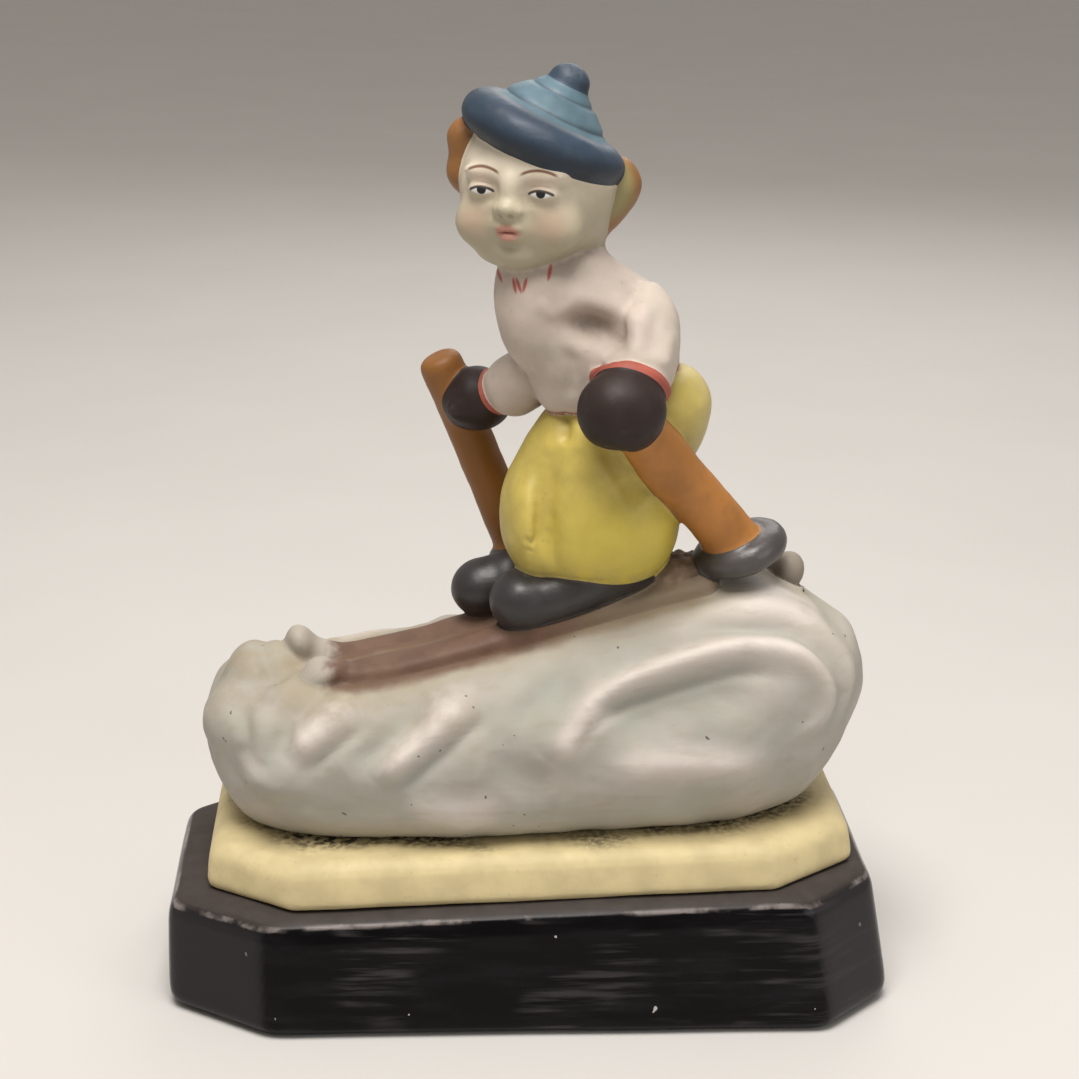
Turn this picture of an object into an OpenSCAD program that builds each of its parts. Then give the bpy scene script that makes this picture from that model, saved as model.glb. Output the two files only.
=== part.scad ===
// Souvenir figurine of a child on skis, on a snow mound, a cream slab and a black plinth.
// Every part is a separately moulded piece, luted to its neighbours before firing.
// Frame: +X towards the tails of the skis, +Y towards the far side, +Z up.
// Origin: the centre of the rectangle round the plinth's foot, on the surface it stands on.
// "near" is the side at -Y, which is the skier's left; "far" is the side at +Y.

/* [Plinth] */
// Length of the plinth's foot along X
plinth_length = 110; // [104:1:116]
// Depth of the plinth's foot along Y
plinth_depth = 60; // [56:1:66]
// Height of the plinth at its middle
plinth_height = 19.4; // [17:0.1:22]
// Wall of the plinth, which is cast hollow
plinth_wall = 4.5; // [3.5:0.1:6]
// Slope of the plinth's top, rising towards +X, in degrees
top_slope = 2.2; // [0:0.1:3]

/* [Slab] */
// Length of the cream slab's foot
slab_length = 98.5; // [94:0.5:100]
// Depth of the cream slab's foot
slab_depth = 49.5; // [47:0.5:51]
// Height of the cream slab
slab_height = 7.2; // [6:0.1:9]
// Bore of the casting hole through the plinth's roof and the slab
pour_bore = 16; // [12:0.5:18]

/* [Snow mound] */
// Wall of the mound, which is cast hollow
mound_wall = 5; // [4:0.1:6]

/* [Skis and poles] */
// Width of each ski
ski_width = 8; // [6.5:0.1:8.6]
// Diameter of the near pole
near_pole_d = 8; // [6.5:0.1:8.4]
// Diameter of the far pole
far_pole_d = 6.6; // [5.5:0.1:7]
// Diameter of the near pole's basket
near_basket_d = 14.6; // [13:0.1:15.5]
// Diameter of the far pole's basket
far_basket_d = 10.4; // [9.5:0.1:11]

/* [Cap] */
// Tilt of the cap towards +X, in degrees
cap_tilt = 25; // [22:1:28]
// Outer diameter of the cap's rolled brim
brim_d = 25; // [24.4:0.1:25.6]
// Diameter of the pompom
pompom_d = 6.8; // [6:0.1:7.2]

/* [Hidden] */
$fn = 32;

// Sides of a modelled limb, and rings between two of its stations
limb_sides = 24;
limb_steps = 2;
// Rings in a rounded end
dome_rings = 3;

// Corner cuts of the two octagons: along X at the -X end, along X at the +X end, along Y
plinth_cuts = [15.5, 11, 10.5];
slab_cuts = [13, 13, 9.7];
// How far the plinth's faces lean in from the widest level to the top
plinth_batter = [2, 3];
plinth_top_shift = -1.5;
foot_round = 0.8;
foot_round_height = 1.5;
slab_batter = [1.5, 1.5];
slab_edge_round = 1.5;
hair_line = 0.01;

// Middle of the figure across the skis
figure_y = -3.5;

// Places where the limbs join, in millimetres
near_grip = [11.5, -17.2, 92.7];
near_basket_at = [31, -6.5, 68.8];
far_pole_top = [-14.2, 9, 94.5];
far_grip = [-8.9, 7.4, 88];
far_basket_at = [-0.9, 12.4, 61.6];
brim_at = [0, -4, 128.3];

function xyz(row) = [row[0], row[1], row[2]];
function unit(v) = v / norm(v);
function across(direction, side) = unit(side - (side * direction) * direction);

// Row at t between the rows b and c of a Catmull-Rom curve
function between(a, b, c, d, t) =
    0.5 * (2 * b + (c - a) * t + (2 * a - 5 * b + 4 * c - d) * t ^ 2 + (3 * b - a - 3 * c + d) * t ^ 3);

// Rows of stations with smooth rows filled in between them
function smooth(rows, steps) =
    let (last = len(rows) - 1)
    [
        for (i = [0 : last - 1], k = [0 : steps - 1])
            between(rows[max(i - 1, 0)], rows[i], rows[i + 1], rows[min(i + 2, last)], k / steps),
        rows[last]
    ];

// Ellipse of points about a centre, in the plane of u and v
function ring(centre, u, v) =
    [for (i = [0 : limb_sides - 1]) let (a = 360 * i / limb_sides) centre + cos(a) * u + sin(a) * v];

// Rings along stations [x, y, z, half width along side, half width across it]
function limb_rings(rows, side, nose, tail, along) =
    let (
        last = len(rows) - 1,
        way = [
            for (i = [0 : last])
                is_undef(along) ? unit(xyz(rows[min(i + 1, last)]) - xyz(rows[max(i - 1, 0)])) : along
        ],
        swell = [for (k = [1 : dome_rings]) 90 * k / (dome_rings + 0.6)]
    )
    [
        if (nose > 0)
            for (a = swell)
                limb_ring(rows[0], way[0], side, -nose * cos(a), sin(a)),
        for (i = [0 : last])
            limb_ring(rows[i], way[i], side, 0, 1),
        if (tail > 0)
            for (k = [dome_rings - 1 : -1 : 0])
                limb_ring(rows[last], way[last], side, tail * cos(swell[k]), sin(swell[k]))
    ];

function limb_ring(row, way, side, shift, size) =
    let (u = across(way, side), v = cross(way, u))
    ring(xyz(row) + shift * way, row[3] * size * u, row[4] * size * v);

// Closed skin over rings that all have the same number of points
module skin(rings) {
    sides = len(rings[0]);
    top = (len(rings) - 1) * sides;
    polyhedron(
        points = [for (r = rings) each r],
        faces = [
            [for (i = [0 : sides - 1]) i],
            for (j = [0 : sides : top - 1], i = [0 : sides - 1])
                let (next = (i + 1) % sides)
                each [[j + i, j + sides + i, j + sides + next], [j + i, j + sides + next, j + next]],
            [for (i = [sides - 1 : -1 : 0]) top + i]
        ]
    );
}

// Rounded limb through stations; nose and tail are the lengths of its round ends.
// Its rings stand square to its own line, or to the direction along where one is given.
module limb(rows, side = [0, 1, 0], nose = 0, tail = 0, along = undef) {
    skin(limb_rings(smooth(rows, limb_steps), side, nose, tail, along));
}

// First child as one cast skin, less the pieces that it is luted to
module luted() {
    resize([0, 0, 0])
        difference() {
            children(0);
            children([1 : $children - 1]);
        }
}

// Cylinder from one point to another
module rod(from, to, d) {
    way = to - from;
    translate(from)
        rotate([0, acos(way[2] / norm(way)), atan2(way[1], way[0])])
            cylinder(h = norm(way), d = d);
}

// Octagon with its corners cut: cuts are along X at each end, then along Y
module octagon(length, depth, cuts) {
    x = length / 2;
    y = depth / 2;
    polygon([
        [-x, -y + cuts[2]], [-x + cuts[0], -y], [x - cuts[1], -y], [x, -y + cuts[2]],
        [x, y - cuts[2]], [x - cuts[1], y], [-x + cuts[0], y], [-x, y - cuts[2]]
    ]);
}

// Thin octagonal slice, for the hulls of the plinth and the slab
module slice(z, length, depth, cuts, slope = 0, shift = 0) {
    translate([0, 0, z])
        rotate([0, -slope, 0])
            translate([shift, 0, -hair_line])
                linear_extrude(hair_line)
                    octagon(length, depth, cuts);
}

// Stands its children on the sloping top of the plinth
module on_plinth() {
    translate([0, 0, plinth_height])
        rotate([0, -top_slope, 0])
            children();
}

module pour_hole() {
    on_plinth()
        translate([0, 0, -plinth_height])
            cylinder(h = 2 * plinth_height, d = pour_bore);
}

module plinth_form() {
    edge = 1.6;
    top_length = plinth_length - 2 * plinth_batter[0];
    top_depth = plinth_depth - 2 * plinth_batter[1];
    hull() {
        slice(hair_line, plinth_length - 2 * foot_round, plinth_depth - 2 * foot_round, plinth_cuts);
        slice(foot_round_height, plinth_length, plinth_depth, plinth_cuts);
        slice(plinth_height - edge, top_length + 1, top_depth + 1.5, plinth_cuts, top_slope, plinth_top_shift);
        slice(
            plinth_height, top_length - 2 * edge, top_depth - 2 * edge + 1, plinth_cuts,
            top_slope, plinth_top_shift
        );
    }
}

module plinth() {
    inside_x = plinth_length - 2 * plinth_wall - 4;
    inside_y = plinth_depth - 2 * plinth_wall - 4;
    roof = 4.5;
    color([0.12, 0.11, 0.11])
        difference() {
            plinth_form();
            intersection() {
                translate([-1, 0, -1])
                    linear_extrude(plinth_height)
                        octagon(inside_x, inside_y, plinth_cuts);
                on_plinth()
                    translate([0, 0, -plinth_height - roof])
                        linear_extrude(plinth_height)
                            square(2 * plinth_length, center = true);
            }
            pour_hole();
        }
}

module slab() {
    color([0.82, 0.76, 0.55])
        difference() {
            on_plinth()
                hull() {
                    slice(hair_line, slab_length, slab_depth, slab_cuts);
                    slice(
                        slab_height - slab_edge_round, slab_length - slab_batter[0],
                        slab_depth - slab_batter[1], slab_cuts
                    );
                    slice(
                        slab_height, slab_length - slab_batter[0] - 2 * slab_edge_round,
                        slab_depth - slab_batter[1] - 2 * slab_edge_round, slab_cuts
                    );
                }
            pour_hole();
        }
}

// The mound's sections: [x, level of the widest line, rise above it, fall below it, half depth]
mound_sections = [
    [-50, 40.5, 2, 3.5, 3],
    [-48, 40, 5, 8.5, 8.5],
    [-43.5, 39, 7.6, 14.5, 13],
    [-37, 38, 10.4, 16.5, 17],
    [-28, 38, 12.2, 17, 19.5],
    [-14, 39, 14.2, 18, 21.5],
    [0, 40.5, 16.6, 19, 22],
    [12, 42, 18.8, 20, 22],
    [24, 44, 20, 21.5, 22],
    [34, 46, 18, 21.5, 20.5],
    [42, 47.5, 12.6, 19.5, 16.5],
    [47.2, 48.5, 7.5, 13, 11.5],
    [50.2, 49, 4, 6, 6],
    [51.3, 49.3, 1.2, 1.8, 2]
];
mound_middle_y = -1;
mound_sides = 40;
mound_fullness = 0.9;

function mound_ring(row, wall) =
    [
        for (i = [0 : mound_sides - 1])
            let (
                a = 360 * i / mound_sides,
                rise = (sin(a) > 0 ? row[2] : row[3]) - wall,
                half = row[4] - wall
            )
            [
                row[0],
                mound_middle_y + half * sign(cos(a)) * abs(cos(a)) ^ mound_fullness,
                row[1] + rise * sign(sin(a)) * abs(sin(a)) ^ mound_fullness
            ]
    ];

// Everything from a level above the plinth's top downwards
module ground_below(level) {
    size = 2 * plinth_length;
    on_plinth()
        translate([0, 0, level - size / 2])
            cube(size, center = true);
}

module mound_form() {
    difference() {
        skin([for (row = smooth(mound_sections, 2)) mound_ring(row, 0)]);
        ground_below(slab_height);
    }
}

// Hollow of the mound, above the casting hole
module mound_hollow() {
    rows = [for (k = [3 : len(mound_sections) - 5]) mound_sections[k]];
    difference() {
        skin([for (row = rows) mound_ring(row, mound_wall)]);
        ground_below(slab_height + mound_wall);
    }
}

module snow_mound() {
    color([0.78, 0.79, 0.77])
        luted() {
            mound_form();
            mound_hollow();
            pour_hole();
        }
}

// Stations along a ski: [x, level of its top, half width, half thickness]
ski_stations = [
    [-27, 51.6, 0.9, 1.6],
    [-20, 53, 1, 1.7],
    [-12, 55.3, 1, 1.7],
    [0, 58.6, 1, 1.7],
    [12, 62.2, 1, 1.7],
    [23, 65, 0.9, 1.7]
];

module ski_form(y, tip, tail) {
    rows = [
        for (s = ski_stations)
            [s[0], y, s[1] - s[3], ski_width / 2 * s[2], s[3]]
    ];
    nose = [
        [tip[0], tip[1], tip[2], 2.1, 1.9],
        [tip[0] + 2.4, tip[1], tip[2] - 0.9, 2.6, 1.9],
        [tip[0] + 5, (tip[1] + y) / 2, tip[2] - 1.7, 3.2, 1.8]
    ];
    limb(concat(nose, rows, tail), nose = 1.8, tail = 1.8);
}

near_ski_tip = [-32.4, -8, 50.6];
far_ski_tip = [-35.9, 0.6, 51.6];
near_ski_y = -8.4;
far_ski_y = 0.4;

module near_ski_form() {
    ski_form(near_ski_y, near_ski_tip, [[26, near_ski_y, 63.6, 3, 1.6]]);
}

module far_ski_form() {
    tail = [[31, far_ski_y, 63.6, 3, 1.6], [36, far_ski_y, 62.8, 2.4, 1.8], [39.4, -0.6, 64.6, 2, 1.9]];
    ski_form(far_ski_y, far_ski_tip, tail);
}

module near_ski() {
    color([0.55, 0.43, 0.35])
        luted() {
            near_ski_form();
            mound_form();
        }
}

module far_ski() {
    color([0.55, 0.43, 0.35])
        luted() {
            far_ski_form();
            mound_form();
            near_ski_form();
        }
}

module near_boot_form() {
    limb([
        [-3.2, -8.7, 60.5, 4.2, 3.7],
        [2.5, -8.7, 61.8, 4.6, 4.1],
        [9, -8.4, 64.4, 4.4, 4.3],
        [15, -8, 67, 4.2, 3.6]
    ], nose = 3.4, tail = 2.8);
}

module far_boot_form() {
    limb([
        [-8.6, 0.4, 59.6, 4, 3.5],
        [-3.5, 0.6, 62, 4.3, 4.2],
        [4, 0.6, 64.2, 4.2, 4.3],
        [11, 0.6, 66.6, 4, 3.6]
    ], nose = 3.2, tail = 2.6);
}

module near_boot() {
    color([0.2, 0.19, 0.19])
        luted() {
            near_boot_form();
            mound_form();
            near_ski_form();
            far_ski_form();
        }
}

module far_boot() {
    color([0.2, 0.19, 0.19])
        luted() {
            far_boot_form();
            mound_form();
            near_ski_form();
            far_ski_form();
            near_boot_form();
        }
}

module grit_patch() {
    color([0.45, 0.36, 0.28])
        luted() {
            limb([
                [17, -5, 63.4, 3, 1.6],
                [21.5, -5.2, 65, 4.6, 2.2],
                [25.5, -5, 65, 3.6, 1.8]
            ], nose = 1.5, tail = 1.5);
            mound_form();
            near_ski_form();
            far_ski_form();
            near_boot_form();
            far_boot_form();
            near_basket_form();
            trousers_form();
        }
}

module trousers_form() {
    y = figure_y;
    limb([
        [9.4, y, 64.4, 9.2, 9],
        [9, y, 66, 11, 10.8],
        [8.2, y, 70.5, 13, 12.2],
        [8.4, y, 76, 13.2, 12.2],
        [10.2, y, 81.5, 13.2, 11.6],
        [13, y, 87.5, 13, 11],
        [15.2, y, 92.5, 10.8, 10.2],
        [16.2, y, 95.6, 7.4, 7.6]
    ], side = [1, 0, 0], along = [0, 0, 1], nose = 1.4, tail = 1.6);
}

module trousers() {
    color([0.74, 0.66, 0.4])
        luted() {
            trousers_form();
            torso_body();
            near_sleeve_form();
            near_cuff_form();
            near_boot_form();
            far_boot_form();
            near_pole_form();
            near_basket_form();
        }
}

module torso_form() {
    y = figure_y;
    limb([
        [11.6, y, 86, 10.6, 10],
        [11.2, y, 92, 11.2, 10.4],
        [9.2, y, 98.5, 12, 10.6],
        [7.8, y, 103, 12.3, 10.6],
        [6.2, y, 107, 11.4, 10],
        [4.2, y, 110, 9.8, 8.6],
        [2.4, y, 112.6, 8, 7],
        [1, y, 115.5, 6.6, 6]
    ], side = [1, 0, 0], along = [0, 0, 1], tail = 1);
}

// The sweater's body, cut off at the sloping line of its hem
module torso_body() {
    hem_slope = 18.5;
    hem_front = [0.5, 0, 88.7];
    difference() {
        torso_form();
        translate(hem_front)
            rotate([0, -hem_slope, 0])
                translate([-30, -30, -40])
                    cube([80, 60, 40]);
    }
}

module torso() {
    color([0.82, 0.77, 0.73])
        luted() {
            torso_body();
            head_form();
            near_pole_form();
        }
}

near_arm = [
    [14.6, -6, 107, 4.2, 4.4],
    [14.9, -9.5, 103.6, 5.6, 5.6],
    [14, -12.8, 99.2, 5.9, 5.9],
    [13.1, -15, 96.6, 5.8, 5.8]
];
far_arm = [
    [2.5, -1, 96, 4.2, 4.2],
    [-0.8, 1.6, 93, 4.8, 4.8],
    [-4.4, 4.6, 89.8, 4.7, 4.7]
];

// Short band round the end of an arm, at the wrist
module cuff_form(arm, length) {
    last = arm[len(arm) - 1];
    way = unit(xyz(last) - xyz(arm[len(arm) - 2]));
    from = xyz(last);
    limb([
        [from[0], from[1], from[2], last[3] + 0.15, last[4] + 0.15],
        concat(from + way * length / 2, [last[3] + 0.4, last[4] + 0.4]),
        concat(from + way * length, [last[3] + 0.1, last[4] + 0.1])
    ]);
}

near_cuff_length = 1.3;
far_cuff_length = 1.2;

module near_sleeve_form() {
    limb(near_arm, nose = 2);
}

module far_sleeve_form() {
    limb(far_arm, nose = 2);
}

module near_cuff_form() {
    cuff_form(near_arm, near_cuff_length);
}

module far_cuff_form() {
    cuff_form(far_arm, far_cuff_length);
}

module near_sleeve() {
    color([0.82, 0.77, 0.73])
        luted() {
            near_sleeve_form();
            torso_form();
        }
}

module near_cuff() {
    color([0.66, 0.3, 0.26])
        luted() {
            near_cuff_form();
            near_sleeve_form();
            near_pole_form();
            torso_form();
        }
}

module near_mitten_form() {
    g = near_grip;
    limb([
        [g[0] + 1, g[1] + 1.8, g[2] + 2.5, 4.8, 4.8],
        [g[0] + 0.6, g[1] + 0.8, g[2] + 1, 6, 6],
        [g[0] - 0.4, g[1] - 0.6, g[2] - 0.8, 5.6, 5.7]
    ], nose = 1, tail = 4);
}

module near_mitten() {
    color([0.2, 0.17, 0.17])
        luted() {
            near_mitten_form();
            near_sleeve_form();
            near_cuff_form();
            near_pole_form();
            torso_form();
            trousers_form();
        }
}

module near_pole_form() {
    rod(near_grip, near_basket_at, near_pole_d);
}

module near_pole() {
    color([0.62, 0.41, 0.22])
        near_pole_form();
}

// Puffed disc with a rounded rim, square to the axis Z
module basket_form(d, thick) {
    r = thick / 2;
    flat = d / 2 - r;
    rotate_extrude()
        polygon(concat(
            [[0, -r * 0.8]],
            [for (a = [-90 : 15 : 90]) [flat + r * cos(a), r * sin(a)]],
            [[flat * 0.5, r * 0.75], [0, r * 0.7]]
        ));
}

module near_basket_form() {
    translate(near_basket_at)
        rotate([4, -19, 0])
            basket_form(near_basket_d, 5);
}

module near_basket() {
    color([0.42, 0.38, 0.38])
        luted() {
            near_basket_form();
            near_pole_form();
            mound_form();
            near_ski_form();
            far_ski_form();
        }
}

module far_sleeve() {
    color([0.82, 0.77, 0.73])
        luted() {
            far_sleeve_form();
            torso_form();
        }
}

module far_cuff() {
    color([0.66, 0.3, 0.26])
        luted() {
            far_cuff_form();
            far_sleeve_form();
        }
}

module far_mitten_form() {
    g = far_grip;
    limb([
        [g[0] + 3, g[1] - 2, g[2] + 1.4, 4.2, 4.4],
        [g[0] + 0.8, g[1] - 0.6, g[2] + 0.4, 5, 5],
        [g[0] - 1.4, g[1] + 0.6, g[2] - 0.4, 4.2, 4.2]
    ], nose = 1.2, tail = 3);
}

module far_mitten() {
    color([0.2, 0.17, 0.17])
        luted() {
            far_mitten_form();
            far_sleeve_form();
            far_cuff_form();
            far_pole_form();
        }
}

module far_pole_form() {
    rod(far_pole_top, far_basket_at, far_pole_d);
}

module far_pole() {
    color([0.55, 0.36, 0.2])
        far_pole_form();
}

module far_basket_form() {
    translate(far_basket_at)
        rotate([-12, -14, 0])
            basket_form(far_basket_d, 4.4);
}

module far_basket() {
    color([0.42, 0.38, 0.38])
        luted() {
            far_basket_form();
            far_pole_form();
            mound_form();
            far_boot_form();
            far_ski_form();
        }
}

module head_form() {
    limb([
        [-3, -6, 112, 5, 4.5],
        [-1.8, -5.2, 114, 8, 7.8],
        [-0.8, -4.5, 117.5, 10.2, 10],
        [-0.3, -4, 122, 11, 11],
        [-0.5, -4, 126.5, 10.2, 10.8],
        [-1.2, -4, 130, 7.4, 8.4],
        [-1.5, -4, 131.4, 5, 6]
    ], side = [1, 0, 0], along = [0, 0, 1], nose = 0.8, tail = 0.8);
}

module head() {
    color([0.78, 0.7, 0.6])
        head_form();
}

module near_hair() {
    color([0.5, 0.38, 0.22])
        luted() {
            limb([
                [11.2, -1, 125, 3, 2.4],
                [12, -0.6, 122.4, 4, 3.2],
                [11, 0, 119, 3.4, 2.5],
                [9, 0, 116, 2.4, 1.8]
            ], nose = 1.5, tail = 1.5);
            head_form();
            cap_brim_form();
            torso_form();
        }
}

module far_hair() {
    color([0.55, 0.36, 0.2])
        luted() {
            limb([
                [-9.6, 0, 130.6, 2.4, 1.8],
                [-10.8, 0, 128.8, 3, 2.7],
                [-10.6, 0, 126.3, 2.8, 2.1],
                [-10.8, 0, 123.6, 3.2, 2.6],
                [-10, 0, 121, 2.2, 1.6]
            ], nose = 1, tail = 1.2);
            head_form();
            cap_brim_form();
        }
}

module in_cap() {
    translate(brim_at)
        rotate([0, cap_tilt, 0])
            children();
}

brim_roll = 6.4;
brim_level = 1;
crown_profile = [[0, 0], [10.4, 0], [10.3, 3], [8.8, 4.3], [6.6, 6.3], [4.5, 8.1], [3, 9.2], [0, 9.4]];
pompom_level = 9.3;

module cap_brim_form() {
    in_cap()
        rotate_extrude()
            translate([(brim_d - brim_roll) / 2, brim_level])
                circle(d = brim_roll);
}

module cap_brim() {
    color([0.28, 0.34, 0.4])
        luted() {
            cap_brim_form();
            head_form();
        }
}

module cap_crown() {
    color([0.43, 0.52, 0.56])
        luted() {
            in_cap()
                rotate_extrude()
                    polygon(crown_profile);
            head_form();
            cap_brim_form();
        }
}

module cap_pompom() {
    color([0.31, 0.37, 0.43])
        luted() {
            in_cap()
                translate([0, 0, pompom_level])
                    scale([1, 1, 0.9])
                        sphere(d = pompom_d);
            in_cap()
                rotate_extrude()
                    polygon(crown_profile);
        }
}

plinth();
slab();
snow_mound();
near_ski();
far_ski();
grit_patch();
near_boot();
far_boot();
trousers();
torso();
near_sleeve();
near_cuff();
near_mitten();
near_pole();
near_basket();
far_sleeve();
far_cuff();
far_mitten();
far_pole();
far_basket();
head();
near_hair();
far_hair();
cap_brim();
cap_crown();
cap_pompom();
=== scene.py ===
"""Painted bisque skier on a snow mound, a cream slab and a glazed plinth, built over the CAD frame.

The real figurine is one slip casting, painted in zones. So every CAD piece becomes a signed distance,
the pieces of a casting are melted together into one skin, relief is pressed into that skin, and it is
cut apart again along the lines where one piece gives way to the next. Each part of it is then closed
and stands for its CAD node. Lengths in this file are millimetres until a mesh or a light is made.
"""
import math

import bmesh
import bpy
import numpy as np
import openvdb as vdb
from mathutils import Euler, Matrix, Vector, noise


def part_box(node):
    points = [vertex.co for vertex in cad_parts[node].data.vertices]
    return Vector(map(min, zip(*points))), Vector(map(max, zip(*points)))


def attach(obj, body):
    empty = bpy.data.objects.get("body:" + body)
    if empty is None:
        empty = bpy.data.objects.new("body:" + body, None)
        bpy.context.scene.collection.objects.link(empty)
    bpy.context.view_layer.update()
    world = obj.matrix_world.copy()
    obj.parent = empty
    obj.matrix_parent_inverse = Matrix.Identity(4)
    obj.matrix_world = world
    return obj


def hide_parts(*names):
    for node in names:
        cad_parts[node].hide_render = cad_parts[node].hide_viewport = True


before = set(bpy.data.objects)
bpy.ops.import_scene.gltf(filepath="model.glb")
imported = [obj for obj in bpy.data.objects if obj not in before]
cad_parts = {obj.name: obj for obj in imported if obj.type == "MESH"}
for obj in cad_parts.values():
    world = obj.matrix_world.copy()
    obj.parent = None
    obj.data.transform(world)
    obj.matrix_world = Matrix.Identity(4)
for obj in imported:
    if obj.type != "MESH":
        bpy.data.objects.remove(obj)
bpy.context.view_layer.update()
scene = bpy.context.scene

MM = 0.001


def box_mm(node):
    """Lowest and highest corner of a CAD node, in millimetres."""
    low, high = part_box(node)
    return np.array(low) / MM, np.array(high) / MM


def middle_mm(node):
    low, high = box_mm(node)
    return (low + high) / 2


# ---- camera and light

CAMERA_DISTANCE = 349
CAMERA_YAW, CAMERA_PITCH, CAMERA_ROLL = (math.radians(a) for a in (3.5, 17.8, 1.0))
CAMERA_TARGET = Vector((1.2, 0, 68.1))
FOCAL_LENGTH, SENSOR = 76.74, 36


def make_camera():
    """The photo's camera, as fitted to the corners of the plinth and the slab."""
    sight = Vector((math.sin(CAMERA_YAW) * math.cos(CAMERA_PITCH),
                    math.cos(CAMERA_YAW) * math.cos(CAMERA_PITCH), -math.sin(CAMERA_PITCH)))
    level = Vector((math.cos(CAMERA_YAW), -math.sin(CAMERA_YAW), 0))
    upright = level.cross(sight)
    right = math.cos(CAMERA_ROLL) * level + math.sin(CAMERA_ROLL) * upright
    up = right.cross(sight)
    data = bpy.data.cameras.new("camera")
    data.sensor_width, data.lens = SENSOR, FOCAL_LENGTH
    data.clip_start, data.clip_end = 0.01, 20
    camera = bpy.data.objects.new("camera", data)
    turn = Matrix((right, up, -sight)).transposed().to_4x4()
    camera.matrix_world = Matrix.Translation((CAMERA_TARGET - CAMERA_DISTANCE * sight) * MM) @ turn
    scene.collection.objects.link(camera)
    scene.camera = camera


def soft_light(name, place, size, watts, colour):
    """A square softbox that faces the figurine. place is in millimetres."""
    data = bpy.data.lights.new(name, "AREA")
    data.shape, data.size, data.energy, data.color = "SQUARE", size * MM, watts, colour
    lamp = bpy.data.objects.new(name, data)
    lamp.location = Vector(place) * MM
    away = Vector(place) * MM - CAMERA_TARGET * MM
    lamp.rotation_euler = away.to_track_quat("Z", "Y").to_euler()
    scene.collection.objects.link(lamp)


make_camera()
soft_light("key", (-60, -190, 650), 330, 4.9, (1, 0.975, 0.95))
soft_light("fill", (420, -380, 260), 300, 0.5, (0.93, 0.96, 1))
soft_light("back", (120, 520, 420), 380, 0.9, (1, 0.98, 0.95))
scene.view_settings.view_transform = "Standard"

world = bpy.data.worlds.new("studio")
world.use_nodes = True
sky = world.node_tree.nodes["Background"].inputs
sky["Color"].default_value = (0.76, 0.71, 0.665, 1)
sky["Strength"].default_value = 0.52
scene.world = world


# ---- signed distances on a grid of cells

BAND = 12  # cells each side of a surface in which a distance is known


def running_mean(values, axis, width):
    """Running mean over an odd number of cells along one axis."""
    half = width // 2
    pad = [(0, 0)] * 3
    pad[axis] = (half + 1, half)
    total = np.cumsum(np.pad(values, pad, mode="edge"), axis=axis, dtype=np.float64)
    take = [slice(None)] * 3
    upper, lower = list(take), list(take)
    upper[axis], lower[axis] = slice(width, None), slice(0, -width)
    return ((total[tuple(upper)] - total[tuple(lower)]) / width).astype(np.float32)


def blurred(values, width):
    """A near-Gaussian blur: three running means along each axis."""
    if width < 3:
        return values
    for _ in range(3):
        for axis in range(3):
            values = running_mean(values, axis, width)
    return values


class Block:
    """A signed distance held on the cells of one box of space."""

    def __init__(self, cell, low, values):
        self.cell, self.low, self.values = cell, np.array(low, int), values

    def axes(self):
        """The x, y and z of the cells, shaped to broadcast over the block."""
        lines = [(self.low[a] + np.arange(self.values.shape[a], dtype=np.float32)) * self.cell
                 for a in range(3)]
        return np.meshgrid(*lines, indexing="ij", sparse=True)

    def at(self, points):
        """The distance at each point, by trilinear interpolation, and the far value outside."""
        place = points / self.cell - self.low
        top = np.array(self.values.shape) - 1.001
        inside = ((place >= 0) & (place <= top)).all(1)
        place = np.clip(place, 0, top)
        base = place.astype(int)
        part = place - base
        out = np.zeros(len(points))
        for corner in np.ndindex(2, 2, 2):
            weight = np.prod(np.where(corner, part, 1 - part), axis=1)
            i, j, k = (base + corner).T
            out += weight * self.values[i, j, k]
        return np.where(inside, out, BAND * self.cell)

    def patch(self, centre, reach):
        """The slices, and the x, y and z, of the cells within reach of a point."""
        first = np.floor((np.array(centre) - reach) / self.cell).astype(int) - self.low
        last = np.ceil((np.array(centre) + reach) / self.cell).astype(int) - self.low + 1
        span = [slice(max(0, a), max(0, b)) for a, b in zip(first, last)]
        x, y, z = self.axes()
        return tuple(span), x[span[0]], y[:, span[1]], z[:, :, span[2]]

    def lump(self, centre, radii, soft, turn=(0, 0, 0), add=True):
        """Melt an ellipsoid on to the solid, or with add=False scoop one out of it."""
        span, x, y, z = self.patch(centre, max(radii) + 3 * soft + 2 * self.cell)
        spin = np.array(Euler([math.radians(a) for a in turn]).to_matrix().inverted())
        offset = (x - centre[0], y - centre[1], z - centre[2])
        local = [sum(spin[r, c] * offset[c] for c in range(3)) for r in range(3)]
        near = np.sqrt(sum((p / r) ** 2 for p, r in zip(local, radii))) + 1e-6
        steep = np.sqrt(sum((p / r ** 2) ** 2 for p, r in zip(local, radii))) + 1e-6
        blob = near * (near - 1) / steep
        here = self.values[span]
        if add:
            self.values[span] = blend_down(here, blob, soft)
        else:
            self.values[span] = -blend_down(-here, blob, soft)


def blend_down(a, b, soft):
    """The lower of two distances, rounded off over a width of soft."""
    share = np.clip(0.5 + 0.5 * (b - a) / soft, 0, 1)
    return (b + (a - b) * share - soft * share * (1 - share)).astype(np.float32)


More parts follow.
